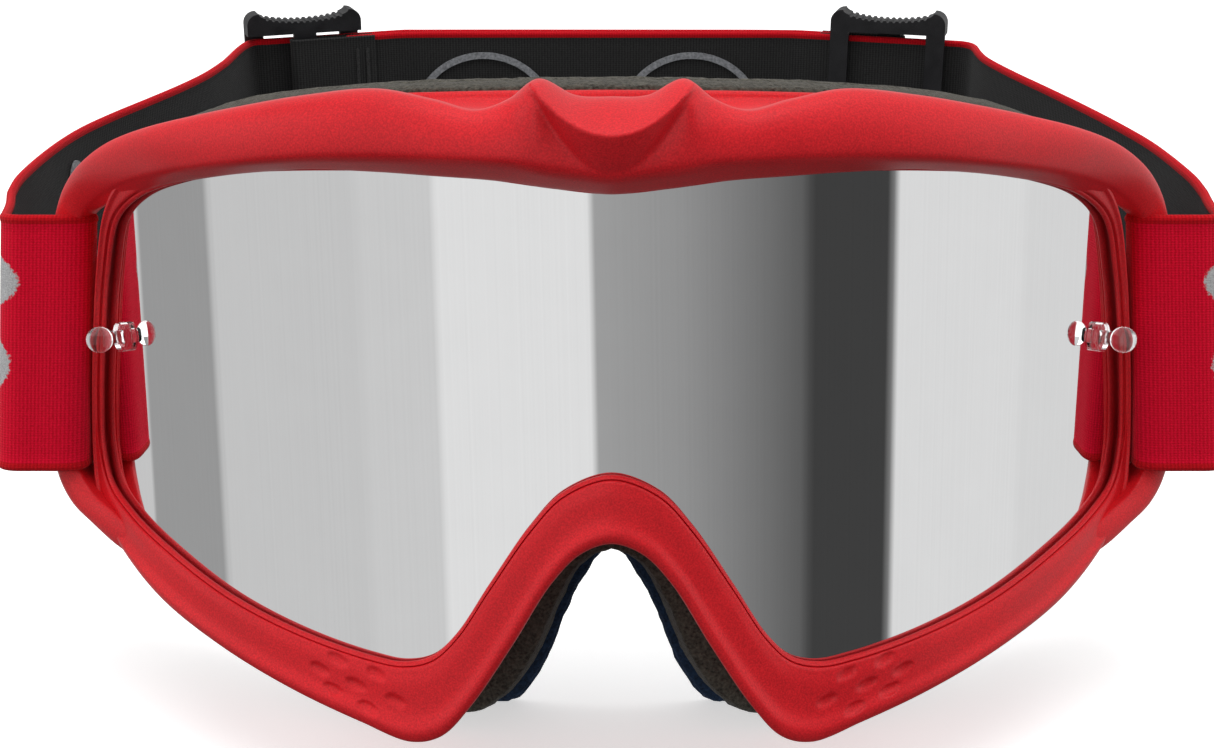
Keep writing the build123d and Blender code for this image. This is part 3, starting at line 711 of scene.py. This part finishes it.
def make_brow(material):
    """Brow band that runs out into the two strap bars."""
    half = np.asarray([brow_section(*station) for station in BROW])
    other = half[:0:-1] * [-1, 1, 1]
    along = smooth_rows(np.concatenate([other, half]), 12, closed=False)
    steps = [3, 3, 3, 8, 10, 8, 5, 4, 3, 3, 3, 2, 2]
    grid = smooth_rows(along.transpose(1, 0, 2), steps)
    x, z = grid[..., 0], grid[..., 2]
    top_edge = z.max(axis=0, keepdims=True)
    front = np.zeros(z.shape, bool)
    front[sum(steps[:2]):sum(steps[:9])] = True
    central = np.abs(x) < 16
    grid[..., 1] -= np.where(front & central, beak(x, z, top_edge), 0)
    return grid_piece("frame_brow", grid, material, wrap_columns=False, body=None)


def close_ends(piece):
    """Cap the open ends of a tube-like mesh."""
    shape = bmesh.new()
    shape.from_mesh(piece.data)
    edges = [edge for edge in shape.edges if edge.is_boundary]
    bmesh.ops.holes_fill(shape, edges=edges, sides=0)
    bmesh.ops.recalc_face_normals(shape, faces=shape.faces)
    shape.to_mesh(piece.data)
    shape.free()


def make_frame(material):
    """Join the ring and the brow into the one moulding that stands for the frame."""
    ring = make_rim(material)
    brow = make_brow(material)
    close_ends(brow)
    facing_out(ring)
    bpy.ops.object.select_all(action="DESELECT")
    brow.select_set(True)
    ring.select_set(True)
    bpy.context.view_layer.objects.active = ring
    bpy.ops.object.join()
    ring.name = "frame_moulding"
    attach(ring, "goggles")
    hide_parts("frame")
    return ring


# ---- lens ----
def make_lens(mirror, inside):
    """Cylindrical mirror lens with a flawless front and a dark inner face."""
    outline = np.asarray(APERTURE, float)
    top = smooth_through(outline[:13], 12)
    low = smooth_through(outline[12:], 12)[::-1]
    x = np.sin(np.linspace(-1, 1, 361) * math.asin(86.5 / LENS_RADIUS)) * LENS_RADIUS
    high_z = np.interp(np.abs(x), top[:, 0], top[:, 1]) + 1.0
    low_z = np.interp(np.abs(x), low[:, 0], low[:, 1]) - 1.0
    share = np.linspace(0, 1, 15)[:, None]
    z = low_z + (high_z - low_z) * share
    sheets = []
    for radius in (LENS_RADIUS, LENS_RADIUS - LENS_THICKNESS):
        wide = np.broadcast_to(x, z.shape) * radius / LENS_RADIUS
        sheets.append(np.stack([wide, lens_y(wide, radius), z], -1))
    grid = np.concatenate([sheets[0], sheets[1][::-1]])
    lens = grid_piece("mirror_lens", grid, mirror, wrap_columns=False)
    close_ends(lens)
    lens.data.materials.append(inside)
    middle_radius = LENS_RADIUS - LENS_THICKNESS / 2
    for face in lens.data.polygons:
        middle = face.center / MM
        face.material_index = int(math.hypot(middle.x, middle.y - LENS_AXIS_Y) <= middle_radius)
    # Exact cylinder normals keep the mirrored bands straight. Zero leaves a corner's normal as it is.
    normals = []
    for loop in lens.data.loops:
        spot = lens.data.vertices[loop.vertex_index].co / MM
        reach = math.hypot(spot.x, spot.y - LENS_AXIS_Y)
        front = reach > middle_radius
        normals.append((spot.x / reach, (spot.y - LENS_AXIS_Y) / reach, 0) if front else (0, 0, 0))
    lens.data.normals_split_custom_set(normals)
    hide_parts("lens")
    return lens


# ---- face foam ----
NOSE_LEAN = 4.2
NOSE_TIP_CUT = 1.6
LOWEST = -62.5


def make_foam(name, node, material, start, end, swell, grow=0.0, flare=-1.5):
    """One foam layer: rounded edges, a slight swell between its glue lines, uneven cut faces.

    The ring leans in towards the nose as it goes back, and flare widens this layer there."""
    outer, inner = (whole_ring(half, [6] * 25) for half in (FOAM, PORT))
    across = outer - inner
    across /= np.linalg.norm(across, axis=1, keepdims=True)
    nose = (1 - fade(np.abs(outer[:, :1]), 26, 8)) * fade(-outer[:, 1:], 26, 8)
    tip = nose * fade(-outer[:, 1:], 50, 10)

    def place(outline, out, back):
        spot = outline + across * out
        spot[:, 1] = np.maximum(spot[:, 1], LOWEST)
        return on_face(spot, back)

    def outside(out, back):
        depth = (back - FLANGE_BACK) / (FACE_STACK - FLANGE_BACK)
        return place(outer, grow + out + (flare + NOSE_LEAN * depth) * nose - NOSE_TIP_CUT * tip, back)

    def inside(out, back):
        return place(inner, out, back)

    middle, centre = 0.5 * (start + end), 0.5 * (outer + inner)
    edge = min(0.9, (end - start) * 0.3)
    rows = [
        outside(-0.4, start), outside(0, start + edge), outside(swell, middle), outside(0, end - edge),
        outside(-0.5, end), place(centre, 0, end + 0.15), inside(0.5, end), inside(0, end - edge),
        inside(-swell, middle), inside(0, start + edge), inside(0.4, start), place(centre, 0, start),
    ]
    grid = smooth_rows(rows, 3)
    grid = grid + np.random.default_rng(7).normal(0, 0.07, grid.shape)
    piece = grid_piece(name, grid, material)
    facing_out(piece)
    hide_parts(node)
    return piece


# ---- vent filters ----
# Upper and lower edges of the right-hand pads behind the top and bottom vents, (x, z).
TOP_PAD = ([(8, 37.2), (35, 38.4), (54, 37.2)], [(8, 34.6), (35, 35.8), (54, 34.6)])
BOTTOM_PAD = ([(44, -42.0), (60, -37.2), (70, -33.3)], [(44, -44.8), (60, -39.9), (70, -36.0)])
PAD_FRONT_RADIUS = 95.6
PAD_FRONT_LIMIT = -34.0
PAD_REAR_LIMIT = -6.0


def make_vent_pad(name, node, side, upper, lower, material):
    """Soft filter pad lying on the wall behind the vents, slightly lumpy."""
    x = np.linspace(upper[0][0], upper[-1][0], 30)
    high = np.interp(x, *zip(*upper))
    low = np.interp(x, *zip(*lower))
    front = np.maximum(lens_y(x, PAD_FRONT_RADIUS), PAD_FRONT_LIMIT)
    rear = np.minimum(face_y(x, -0.5), PAD_REAR_LIMIT)
    section = [(0.0, 0.08), (0.0, 0.5), (0.0, 0.92)] + [(deep, 1.0) for deep in np.linspace(0.04, 0.96, 22)]
    section += [(1.0, 0.92), (1.0, 0.5), (1.0, 0.08)] + [(deep, 0.0) for deep in np.linspace(0.96, 0.04, 22)]
    rows = [np.column_stack([side * x, front + (rear - front) * deep, low + (high - low) * tall])
            for deep, tall in section]
    grid = np.stack(rows)
    grid = grid + np.random.default_rng(11).normal(0, 0.06, grid.shape)
    piece = grid_piece(name, grid, material, wrap_columns=False)
    close_ends(piece)
    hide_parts(node)
    return piece


# ---- strap ----
# Plan routes of the webbing's middle, (x, y): inner tail, round the outrigger, then along the side.
LEFT_ROUTE = [
    (-101.3, 27.5), (-101.2, 21.2), (-97.5, 16.8), (-92.0, 13.2), (-89.2, 10.2), (-88.6, 6), (-88.8, 3.0),
    (-90.6, 1.9), (-96, 1.7), (-100.4, 1.9), (-102.4, 3.4), (-103.4, 8), (-104.4, 14), (-105.4, 21),
    (-106.9, 31), (-107.6, 42), (-107.2, 60), (-105.6, 73.4), (-102.4, 86.2), (-98.4, 99), (-94.5, 112),
    (-91.5, 124.8), (-89.9, 137.6),
]
RIGHT_ROUTE = [
    (101.3, 27.5), (101.2, 21.2), (97.5, 16.8), (92.0, 13.2), (89.2, 10.2), (88.6, 6), (88.8, 3.0),
    (90.6, 1.9), (96, 1.7), (100.4, 1.9), (102.4, 3.4), (103.4, 8), (104.2, 14), (105.0, 24), (105.5, 39.7),
    (104.6, 60.5), (102.4, 75.3), (98.8, 93.1), (94.8, 110), (90.4, 127.8), (87.6, 142.6), (87.3, 150.5),
    (87.5, 156.0), (87.4, 158.0), (86.8, 159.9), (85.4, 161.4),
]

# Slider buckles, (x, distance along the strap's slope), the layers of webbing that run through them,
# and the share of a distance along the slope that is seen in plan.
LEFT_CENTRE = np.array([-76.0, 153.3])
RIGHT_CENTRE = np.array([68.0, 152.2])
LEFT_TURN = math.radians(20)
RIGHT_TURN = math.radians(16)
PLAN_SHARE = 0.98902
LAYER_PITCH = 2.8
LAYER_END = 10.3
TAB_THICKNESS = 0.6

# Outer and inner layers across the back of the head, from left to right.
OUTER_BACK = [(-47.5, 162.0), (-38, 162.1), (-10, 162.1), (20, 162.0), (36, 161.9), (43, 161.5)]
INNER_BACK = [(-47.5, 159.1), (-38, 159.25), (-10, 159.2), (20, 159.1), (36, 159.1), (43, 159.0)]


def heading(turn):
    return np.array([math.cos(turn), math.sin(turn)])


def to_plan(point):
    """From distances along the strap's slope to plan x and y."""
    return (point[0], HINGE_Y + point[1] * PLAN_SHARE)


def left_back():
    """Left webbing past its corner: through the left buckle, outer layer, up to the right buckle."""
    along, out = heading(LEFT_TURN), heading(LEFT_TURN + math.pi / 2)
    far, far_out = heading(-RIGHT_TURN), heading(math.pi / 2 - RIGHT_TURN)
    end = RIGHT_CENTRE + far_out * LAYER_PITCH
    points = [LEFT_CENTRE + along * u for u in (-12.5, -9, -3, 4, 11, 18, 23)]
    points += [LEFT_CENTRE + along * 25.6 - out * 0.1, *OUTER_BACK]
    points += [end - far * u for u in (23, 18, LAYER_END)]
    return [to_plan(point) for point in points]


def right_back():
    """Right webbing past its corner: through the right buckle, inner layer, up to the left buckle."""
    along = heading(-RIGHT_TURN)
    near, near_out = heading(LEFT_TURN), heading(LEFT_TURN + math.pi / 2)
    end = LEFT_CENTRE - near_out * LAYER_PITCH
    points = [RIGHT_CENTRE + along * u for u in (16, 10, 3, -4, -11, -18, -23)]
    points += INNER_BACK[::-1]
    points += [end + near * u for u in (23, 18, LAYER_END)]
    return [to_plan(point) for point in points]


def ribbon(name, middle, up, out, even, thickness, materials):
    """Flat webbing along a line of middle points: outer face, rolled edges and inner face, UVs in mm."""
    outer, inner, edging = materials
    half = thickness / 2
    flat = half * 0.83
    bead = half + 0.1
    face = np.linspace(-STRAP_HALF + 1.5, STRAP_HALF - 1.5, 23)
    turn = np.linspace(math.radians(115), math.radians(-115), 11)
    section = [(w, flat, 0) for w in face]
    section += [(STRAP_HALF - bead + bead * math.cos(a), bead * math.sin(a), 1) for a in turn]
    section += [(w, -flat, 2) for w in face[::-1]]
    section += [(-STRAP_HALF + bead - bead * math.cos(a), -bead * math.sin(a), 1) for a in turn]
    grid = np.stack([middle + up * w + out * t for w, t, _ in section])
    piece = grid_piece(name, grid, outer, wrap_columns=False, body=None)
    piece.data.materials.append(inner)
    piece.data.materials.append(edging)
    kinds = [kind for _, _, kind in section]
    slots = {0: 0, 1: 2, 2: 1}
    picks = [slots[here] if here == there else 2 for here, there in zip(kinds, kinds[1:] + kinds[:1])]
    piece.data.polygons.foreach_set("material_index", np.repeat(picks, len(even) - 1))
    layer = piece.data.uv_layers.new(name="webbing")
    along_mm = np.tile(even, len(section))
    across_mm = np.repeat([w for w, _, _ in section], len(even))
    corner = np.zeros(len(piece.data.loops), int)
    piece.data.loops.foreach_get("vertex_index", corner)
    layer.data.foreach_set("uv", np.column_stack([along_mm[corner], across_mm[corner]]).ravel())
    close_ends(piece)
    return piece


def make_strap(name, route, nodes, materials):
    """One length of webbing: knitted faces, rolled red edges, from the loop's sewn tail to its far end."""
    plan = smooth_through(np.asarray(route), 10)
    length = lengths_along(plan)
    even = np.linspace(0, length[-1], int(length[-1] / 0.8))
    plan = np.column_stack([np.interp(even, length, plan[:, k]) for k in (0, 1)])
    along = np.gradient(plan, axis=0)
    along /= np.linalg.norm(along, axis=1, keepdims=True)
    side = math.copysign(1, plan[0, 0])
    y = plan[:, 1]
    ease = fade(y, 8, 30)
    ease = ease * ease * (3 - 2 * ease)
    rise = (y - HINGE_Y) * math.tan(STRAP_CLIMB) * ease
    # The loops follow the slanted bars and straighten as they run back.
    lean = -side * LOOP_LEAN * (1 - fade(y, 4, 24))
    up = np.column_stack([lean, -math.sin(STRAP_CLIMB) * ease, np.ones(len(y))])
    up /= np.linalg.norm(up, axis=1, keepdims=True)
    out = np.column_stack([-along[:, 1], along[:, 0], np.zeros(len(y))]) * -side
    middle = np.column_stack([plan, rise])
    # The sewn end inside the loop is folded narrower, so it stays out of sight from the front.
    up *= np.interp(even, [0, 14, 27], [0.8, 0.8, 1.0])[:, None]
    piece = ribbon(name, middle, up, out, even, STRAP_THICKNESS, materials)
    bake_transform(piece)
    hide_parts(*nodes)
    return piece


# Two rows of zigzag stitches through the loop's tail.
STITCH_ROWS = (23.5, 25.5)
STITCH_REACH = 15.2
STITCH_PITCH = 1.6
STITCH_SWING = 0.45
STITCH_X = 100.62
STITCH_LEAN = 0.0114
THREAD_RADIUS = 0.2


def make_loop_stitches(name, node, side, material):
    """One zigzag thread, up one row and down the next, that closes the tail inside a loop."""
    rise = np.linspace(-STITCH_REACH, STITCH_REACH, 320)
    zigzag = STITCH_SWING * np.sin(rise * 2 * math.pi / STITCH_PITCH)
    x = side * (STITCH_X - STITCH_LEAN * rise)
    up, down = (np.column_stack([x, y + zigzag, rise]) for y in STITCH_ROWS)
    path = np.concatenate([up, down[::-1]])
    turn = np.linspace(0, 2 * math.pi, 6, endpoint=False)
    grid = np.stack([path + THREAD_RADIUS * np.array([math.cos(a), math.sin(a), 0]) for a in turn])
    piece = grid_piece(name, grid, material, wrap_columns=False, body=None)
    close_ends(piece)
    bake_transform(piece)
    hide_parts(node)
    return piece


# A tab's path round its buckle's centre bar, (along the webbing, outwards from its middle).
TAB_PATH = [(17, -1.4), (12, -1.4), (6, -1.4), (0, -1.4), (-2.6, -1.45), (-3.3, -2.1), (-3.3, -3.5),
            (-2.6, -4.15), (0, -4.2), (6, -4.2), (12, -4.2), (17, -4.2)]


def make_tab(name, node, body, centre, turn, side, material):
    """Short folded webbing tab round a buckle's centre bar; side is 1 on the left and -1 on the right."""
    rise = np.array([0, -math.sin(STRAP_CLIMB), math.cos(STRAP_CLIMB)])
    along = heading(turn)
    x_dir = np.array([along[0], along[1] * math.cos(STRAP_CLIMB), along[1] * math.sin(STRAP_CLIMB)])
    normal = np.cross(rise, x_dir) * side
    origin = np.array([centre[0], HINGE_Y + centre[1] * math.cos(STRAP_CLIMB),
                       centre[1] * math.sin(STRAP_CLIMB)])
    path = smooth_through(np.asarray(TAB_PATH, float), 4)
    middle = origin + np.outer(path[:, 0] * side, x_dir) + np.outer(path[:, 1], normal)
    step = np.gradient(middle, axis=0)
    step /= np.linalg.norm(step, axis=1, keepdims=True)
    out = np.cross(step, rise)
    up = np.broadcast_to(rise, middle.shape)
    piece = ribbon(name, middle, up, out, lengths_along(middle), TAB_THICKNESS, (material,) * 3)
    facing_out(piece)
    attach(piece, body)
    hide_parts(node)
    return piece


# ---- build ----
def dress(material, *nodes):
    """Give carried-over CAD nodes their finished material."""
    for node in nodes:
        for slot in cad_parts[node].material_slots:
            slot.material = material


def build_face_foam():
    dark_foam = foam("foam_dark", (0.016, 0.014, 0.010), (0.10, 0.092, 0.072))
    mid_foam = foam("foam_mid", (0.018, 0.016, 0.012), (0.115, 0.106, 0.084))
    make_foam("foam_base_layer", "face_foam_base", dark_foam, FLANGE_BACK, FOAM_MID_START, 0.5)
    make_foam("foam_mid_layer", "face_foam_mid", mid_foam, FOAM_MID_START, FLEECE_START, 0.35,
              grow=0.15)
    make_foam("fleece_layer", "face_fleece", fleece(), FLEECE_START, FACE_STACK, 0.5,
              grow=-0.5, flare=1.5)


def build_straps(black):
    red = knit("webbing_red", (0.52, 0.0006, 0.011), (0.98, 0.003, 0.045), emblem=True)
    edging = knit("webbing_edge", (0.38, 0.001, 0.005), (0.70, 0.004, 0.014))
    for word, route in (("left", LEFT_ROUTE + left_back()), ("right", RIGHT_ROUTE + right_back())):
        make_strap(f"strap_{word}_webbing", route, (f"strap_loop_{word}", f"strap_{word}"),
                   (red, black, edging))


def build_vent_filters():
    filter_foam = foam("filter_foam", (0.008, 0.008, 0.008), (0.07, 0.07, 0.07), 600)
    for side, word in ((-1, "left"), (1, "right")):
        for place, pad in (("top", TOP_PAD), ("bottom", BOTTOM_PAD)):
            make_vent_pad(f"vent_filter_{place}_{word}", f"vent_foam_{place}_{word}", side, *pad,
                          filter_foam)


def build():
    add_camera()
    add_world()
    add_lights()
    add_floor()
    make_frame(frame_plastic())
    make_lens(lens_mirror(), lens_inside())
    build_face_foam()
    black = knit("webbing_black", (0.010, 0.010, 0.010), (0.045, 0.045, 0.045), 1.4)
    build_straps(black)
    dress(clear_plastic(), "tearoff_post_left", "tearoff_post_right",
          "post_retainer_left", "post_retainer_right")
    build_vent_filters()
    dress(buckle_plastic(), "buckle_left", "buckle_right")
    make_tab("folded_tab_left", "buckle_tab_left", "buckle_left", LEFT_CENTRE, LEFT_TURN, 1, black)
    make_tab("folded_tab_right", "buckle_tab_right", "buckle_right", RIGHT_CENTRE, -RIGHT_TURN, -1, black)
    dress(silicone(), "silicone_grip_rear", "silicone_grip_left", "silicone_grip_right")
    red_thread = thread("thread_red", (0.16, 0.003, 0.01), (0.42, 0.012, 0.03))
    make_loop_stitches("loop_thread_left", "loop_stitching_left", -1, red_thread)
    make_loop_stitches("loop_thread_right", "loop_stitching_right", 1, red_thread)
    dress(thread("thread_black", (0.01, 0.01, 0.01), (0.05, 0.05, 0.05)),
          "tab_stitching_left", "tab_stitching_right")


build()
